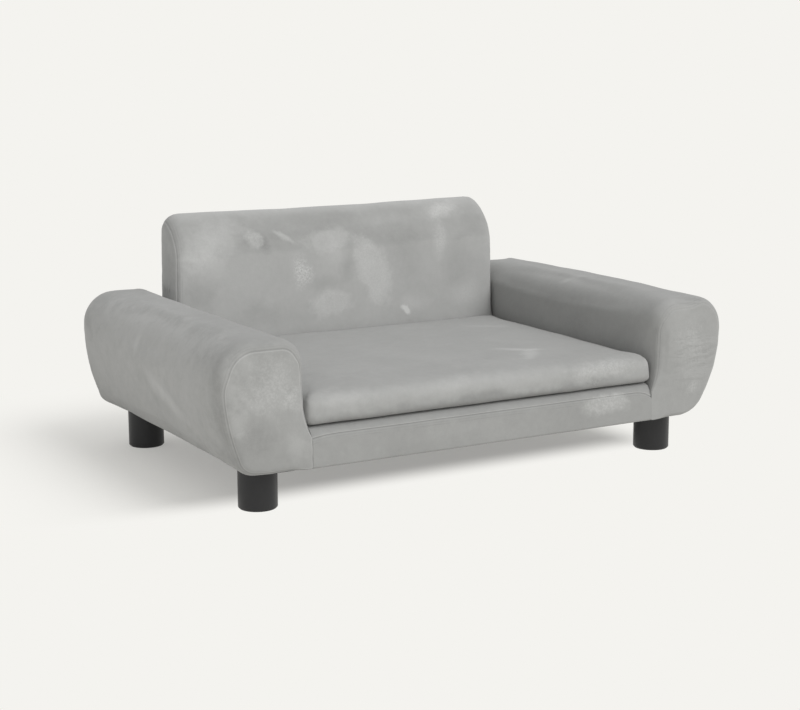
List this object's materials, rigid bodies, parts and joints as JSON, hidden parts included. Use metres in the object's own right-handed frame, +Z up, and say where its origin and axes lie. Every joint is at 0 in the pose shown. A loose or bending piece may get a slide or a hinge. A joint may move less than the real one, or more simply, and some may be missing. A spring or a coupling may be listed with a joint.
{
  "type": "pet sofa",
  "caption": "Low velvet-covered pet sofa with two rolled arms, a padded backrest, a loose zipped seat cushion and round plastic legs.",
  "frame": {"origin": "on the floor, under the middle of the sofa's box", "axes": "+X to the sofa's right as its front is looked at, +Y to its back, +Z up"},
  "size_m": [0.7, 0.45, 0.3],
  "materials": {
    "velvet": "light grey short-pile velvet, crushed in patches",
    "foam": "open-cell polyurethane foam",
    "dust_sheet": "black non-woven sheet",
    "plywood": "plain poplar plywood",
    "hardboard": "thin bent hardboard",
    "leg_plastic": "black moulded plastic, fine satin",
    "felt": "pressed black felt",
    "zinc": "zinc-plated steel",
    "zip_tape": "woven grey zip tape",
    "zip_coil": "grey nylon coil"
  },
  "bodies": {
    "sofa": {"arm_bolt_washers": "zinc", "arm_bolts": "zinc", "arm_left_bolt_rail": "plywood", "arm_left_cover": "velvet", "arm_left_dust_sheet": "dust_sheet", "arm_left_foam": "foam", "arm_left_front_board": "plywood", "arm_left_leg_blocks": "plywood", "arm_left_liner": "hardboard", "arm_left_rear_board": "plywood", "arm_left_side_batten": "plywood", "arm_left_top_batten": "plywood", "arm_right_bolt_rail": "plywood", "arm_right_cover": "velvet", "arm_right_dust_sheet": "dust_sheet", "arm_right_foam": "foam", "arm_right_front_board": "plywood", "arm_right_leg_blocks": "plywood", "arm_right_liner": "hardboard", "arm_right_rear_board": "plywood", "arm_right_side_batten": "plywood", "arm_right_top_batten": "plywood", "arm_tee_nuts": "zinc", "back_bolt_washers": "zinc", "back_bolts": "zinc", "back_bottom_rail": "plywood", "back_cover": "velvet", "back_foam": "foam", "back_middle_post": "plywood", "back_panel": "hardboard", "back_posts": "plywood", "back_tee_nuts": "zinc", "back_top_rail": "plywood", "box_bearers": "plywood", "box_corner_blocks": "plywood", "box_cover": "velvet", "box_deck": "plywood", "box_dust_sheet": "dust_sheet", "box_foam": "foam", "box_front_rail": "plywood", "box_left_rail": "plywood", "box_rear_rail": "plywood", "box_right_rail": "plywood", "leg_bolts": "zinc", "leg_front_left": "leg_plastic", "leg_front_right": "leg_plastic", "leg_glides": "felt", "leg_rear_left": "leg_plastic", "leg_rear_right": "leg_plastic", "leg_tee_nuts": "zinc"},
    "seat_cushion": {"seat_cushion_cover": "velvet", "seat_cushion_foam": "foam", "zip_tapes": "zip_tape", "zip_coil": "zip_coil", "zip_stops": "zinc"},
    "zip_slider": {"zip_slider": "zinc"}
  },
  "joints": [
    {"name": "cushion_lift", "type": "slide", "parent": "sofa", "child": "seat_cushion", "axis": [0, 0, 1], "range_m": [0, 0.25]},
    {"name": "zip_slide", "type": "slide", "parent": "seat_cushion", "child": "zip_slider", "axis": [-1, 0, 0], "range_m": [0, 0.282]}
  ]
}
